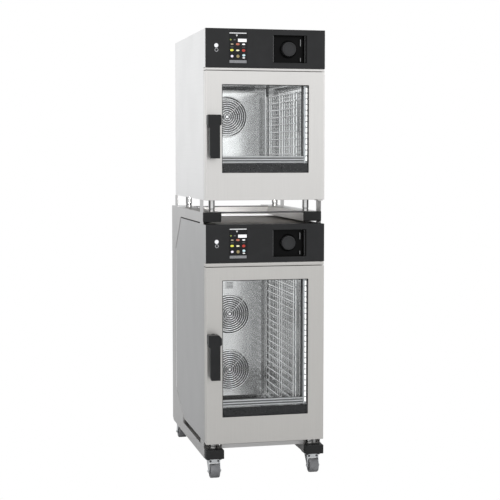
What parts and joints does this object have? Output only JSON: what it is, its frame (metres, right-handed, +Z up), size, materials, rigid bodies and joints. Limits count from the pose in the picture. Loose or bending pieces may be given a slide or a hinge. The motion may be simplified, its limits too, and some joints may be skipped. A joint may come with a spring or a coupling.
{
  "type": "stacked combi steamer ovens",
  "caption": "Two compact combi steamer ovens stacked in a steel frame on castors, with hinged glass doors, turning levers, knobs, fans and wire racks.",
  "frame": {"origin": "on the floor under the middle of the stack's bounding box", "axes": "+Z up, doors face -Y, +X to the right as seen from the front"},
  "size_m": [0.52, 0.907, 1.9065],
  "materials": {
    "brushed_steel": "fine brushed",
    "cavity_steel": "satin",
    "door_steel": "fine brushed",
    "door_seal": "matte",
    "chromed_wire": "bright",
    "panel_black": "satin",
    "screen_glass": "gloss",
    "knob_black": "satin",
    "button_white": "gloss",
    "door_glass": "clear",
    "handle_black": "fine texture",
    "fan_steel": "satin",
    "motor_paint": "satin",
    "heater_steel": "dull",
    "leg_steel": "polished",
    "frame_steel": "fine brushed",
    "cap_black": "matte",
    "castor_zinc": "zinc plated",
    "castor_rubber": "matte",
    "port_plastic": "matte"
  },
  "bodies": {
    "stack": {"upper_left_side": "brushed_steel", "upper_right_side": "brushed_steel", "upper_top_panel": "brushed_steel", "upper_back_panel": "brushed_steel", "upper_base_pan": "brushed_steel", "upper_head_rail": "brushed_steel", "upper_cavity": "cavity_steel", "upper_gasket": "door_seal", "upper_baffle": "cavity_steel", "upper_fan_guard": "chromed_wire", "upper_racks": "chromed_wire", "upper_control_panel": "panel_black", "upper_display": "screen_glass", "lower_left_side": "brushed_steel", "lower_right_side": "brushed_steel", "lower_top_panel": "brushed_steel", "lower_back_panel": "brushed_steel", "lower_base_pan": "brushed_steel", "lower_head_rail": "brushed_steel", "lower_cavity": "cavity_steel", "lower_gasket": "door_seal", "lower_baffle": "cavity_steel", "lower_fan_guard": "chromed_wire", "lower_racks": "chromed_wire", "lower_control_panel": "panel_black", "lower_display": "screen_glass", "fan_motors": "motor_paint", "fan_heaters": "heater_steel", "upper_legs": "leg_steel", "lower_feet": "leg_steel", "left_side_plate": "frame_steel", "right_side_plate": "frame_steel", "frame_arms": "frame_steel", "cross_rails": "frame_steel", "end_caps": "cap_black", "castor_plates": "castor_zinc", "service_ports": "port_plastic"},
    "upper_fan": {"upper_fan": "fan_steel"},
    "upper_knob": {"upper_knob": "knob_black"},
    "upper_button": {"upper_power_button": "button_white"},
    "upper_door": {"upper_door_frame": "door_steel", "upper_outer_glass": "door_glass", "upper_inner_glass": "door_glass"},
    "upper_handle": {"upper_handle": "handle_black"},
    "lower_fan_low": {"lower_fan_low": "fan_steel"},
    "lower_fan_high": {"lower_fan_high": "fan_steel"},
    "lower_knob": {"lower_knob": "knob_black"},
    "lower_button": {"lower_power_button": "button_white"},
    "lower_door": {"lower_door_frame": "door_steel", "lower_outer_glass": "door_glass", "lower_inner_glass": "door_glass"},
    "lower_handle": {"lower_handle": "handle_black"},
    "front_left_fork": {"castor_front_left_fork": "castor_zinc"},
    "front_left_wheel": {"castor_front_left_wheel": "castor_rubber"},
    "front_right_fork": {"castor_front_right_fork": "castor_zinc"},
    "front_right_wheel": {"castor_front_right_wheel": "castor_rubber"},
    "rear_left_fork": {"castor_rear_left_fork": "castor_zinc"},
    "rear_left_wheel": {"castor_rear_left_wheel": "castor_rubber"},
    "rear_right_fork": {"castor_rear_right_fork": "castor_zinc"},
    "rear_right_wheel": {"castor_rear_right_wheel": "castor_rubber"}
  },
  "joints": [
    {"name": "upper_door_hinge", "type": "hinge", "parent": "stack", "child": "upper_door", "pos_m": [0.253, -0.3655, 1.19], "axis": [0, 0, 1], "range_deg": [0, 125]},
    {"name": "upper_handle_turn", "type": "hinge", "parent": "upper_door", "child": "upper_handle", "pos_m": [-0.2295, -0.3985, 1.527], "axis": [0, -1, 0], "range_deg": [0, 90]},
    {"name": "upper_knob_turn", "type": "hinge", "parent": "stack", "child": "upper_knob", "pos_m": [0.1025, -0.3785, 1.8255], "axis": [0, 1, 0], "continuous": true},
    {"name": "upper_button_press", "type": "slide", "parent": "stack", "child": "upper_button", "axis": [0, 1, 0], "range_m": [0, 0.002], "stiffness_N_per_m": 400},
    {"name": "upper_fan_spin", "type": "hinge", "parent": "stack", "child": "upper_fan", "pos_m": [-0.036, 0.2415, 1.558], "axis": [0, 1, 0], "continuous": true},
    {"name": "lower_door_hinge", "type": "hinge", "parent": "stack", "child": "lower_door", "pos_m": [0.253, -0.3655, 0.15], "axis": [0, 0, 1], "range_deg": [0, 125]},
    {"name": "lower_handle_turn", "type": "hinge", "parent": "lower_door", "child": "lower_handle", "pos_m": [-0.2295, -0.3985, 0.606], "axis": [0, -1, 0], "range_deg": [0, 90]},
    {"name": "lower_knob_turn", "type": "hinge", "parent": "stack", "child": "lower_knob", "pos_m": [0.1025, -0.3785, 1.006], "axis": [0, 1, 0], "continuous": true},
    {"name": "lower_button_press", "type": "slide", "parent": "stack", "child": "lower_button", "axis": [0, 1, 0], "range_m": [0, 0.002], "stiffness_N_per_m": 400},
    {"name": "lower_fan_low_spin", "type": "hinge", "parent": "stack", "child": "lower_fan_low", "pos_m": [-0.025, 0.2415, 0.361], "axis": [0, 1, 0], "continuous": true},
    {"name": "lower_fan_high_spin", "type": "hinge", "parent": "stack", "child": "lower_fan_high", "pos_m": [-0.025, 0.2415, 0.628], "axis": [0, 1, 0], "continuous": true},
    {"name": "front_left_swivel", "type": "hinge", "parent": "stack", "child": "front_left_fork", "pos_m": [-0.219, -0.3485, 0.07], "axis": [0, 0, 1], "continuous": true},
    {"name": "front_left_roll", "type": "hinge", "parent": "front_left_fork", "child": "front_left_wheel", "pos_m": [-0.219, -0.3705, 0.03], "axis": [1, 0, 0], "continuous": true},
    {"name": "front_right_swivel", "type": "hinge", "parent": "stack", "child": "front_right_fork", "pos_m": [0.219, -0.3485, 0.07], "axis": [0, 0, 1], "continuous": true},
    {"name": "front_right_roll", "type": "hinge", "parent": "front_right_fork", "child": "front_right_wheel", "pos_m": [0.219, -0.3705, 0.03], "axis": [1, 0, 0], "continuous": true},
    {"name": "rear_left_swivel", "type": "hinge", "parent": "stack", "child": "rear_left_fork", "pos_m": [-0.219, 0.4015, 0.07], "axis": [0, 0, 1], "continuous": true},
    {"name": "rear_left_roll", "type": "hinge", "parent": "rear_left_fork", "child": "rear_left_wheel", "pos_m": [-0.219, 0.4235, 0.03], "axis": [1, 0, 0], "continuous": true},
    {"name": "rear_right_swivel", "type": "hinge", "parent": "stack", "child": "rear_right_fork", "pos_m": [0.219, 0.4015, 0.07], "axis": [0, 0, 1], "continuous": true},
    {"name": "rear_right_roll", "type": "hinge", "parent": "rear_right_fork", "child": "rear_right_wheel", "pos_m": [0.219, 0.4235, 0.03], "axis": [1, 0, 0], "continuous": true}
  ]
}
